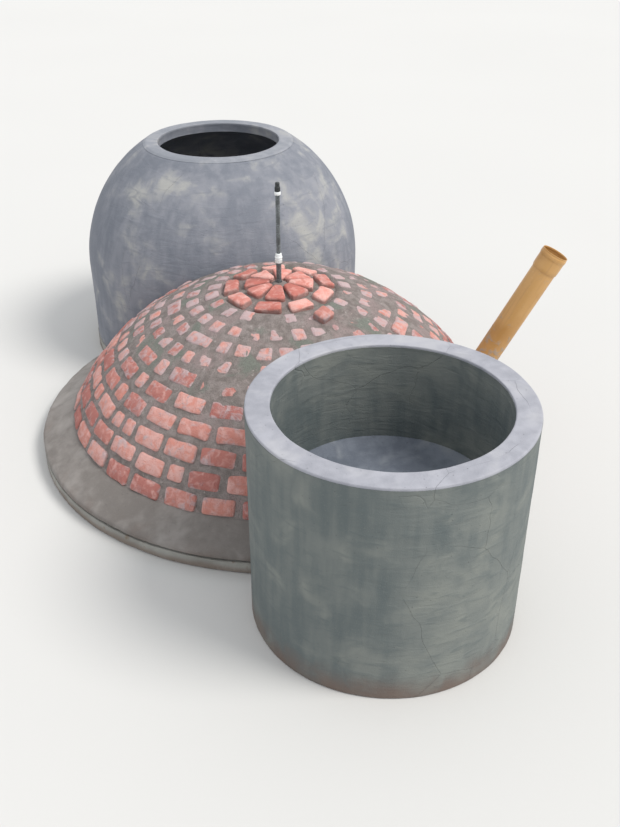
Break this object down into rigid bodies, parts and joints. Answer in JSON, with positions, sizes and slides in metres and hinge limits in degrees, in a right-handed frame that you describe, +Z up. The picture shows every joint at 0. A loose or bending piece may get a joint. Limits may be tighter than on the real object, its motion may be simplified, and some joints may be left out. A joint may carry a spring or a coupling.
{
  "type": "fixed-dome biogas digester",
  "caption": "Brick dome digester with a gas pipe on its crown, an inclined inlet pipe, an open round rendered tank and a domed rendered chamber with a manhole.",
  "frame": {"origin": "on the ground, straight under the crown of the dome", "axes": "+Z up, +Y from the open tank over the dome to the chamber"},
  "size_m": [3.3665, 5.17, 1.702],
  "materials": {
    "brick": "fired clay brick in thick mortar",
    "fresh_brick": "clean fired clay brick",
    "mortar": "rough trowelled cement mortar",
    "concrete": "cast concrete",
    "render": "damp steel-trowelled cement render",
    "pale_render": "smooth dry cement render",
    "rubble": "packed broken brick and stone",
    "drain_plastic": "satin ochre pipe",
    "galvanised_steel": "dull zinc",
    "white_plastic": "glossy",
    "black_plastic": "satin"
  },
  "bodies": {
    "root": {"digester_floor_slab": "concrete", "digester_foot_collar": "mortar", "dome_lower_courses": "brick", "dome_middle_courses_right": "brick", "dome_middle_courses_back": "brick", "dome_middle_courses_left": "brick", "dome_middle_courses_front": "brick", "dome_upper_courses_right": "brick", "dome_upper_courses_back": "brick", "dome_upper_courses_left": "brick", "dome_upper_courses_front": "brick", "passage_lintel": "concrete", "crown_outer_brick_ring": "fresh_brick", "crown_inner_brick_ring": "fresh_brick", "crown_mortar_plug": "mortar", "gas_pipe_stub": "galvanised_steel", "gas_pipe_fitting": "white_plastic", "gas_pipe_riser": "galvanised_steel", "gas_pipe_ring": "white_plastic", "gas_pipe_end_cap": "black_plastic", "inlet_pipe_lower_length": "drain_plastic", "inlet_pipe_middle_length": "drain_plastic", "inlet_pipe_upper_length": "drain_plastic", "inlet_pipe_socket": "drain_plastic", "inlet_pipe_haunch": "mortar", "tank_foundation_wall": "render", "tank_rubble_fill": "rubble", "tank_floor_slab": "pale_render", "tank_wall_right": "render", "tank_wall_back": "render", "tank_wall_left": "render", "tank_wall_front": "render", "tank_rim": "pale_render", "chamber_floor_slab": "concrete", "chamber_wall_right": "render", "chamber_wall_back": "render", "chamber_wall_left": "render", "chamber_top_right": "render", "chamber_top_back": "render", "chamber_top_left": "render", "chamber_top_front": "render", "manhole_rim": "pale_render"}
  },
  "joints": []
}
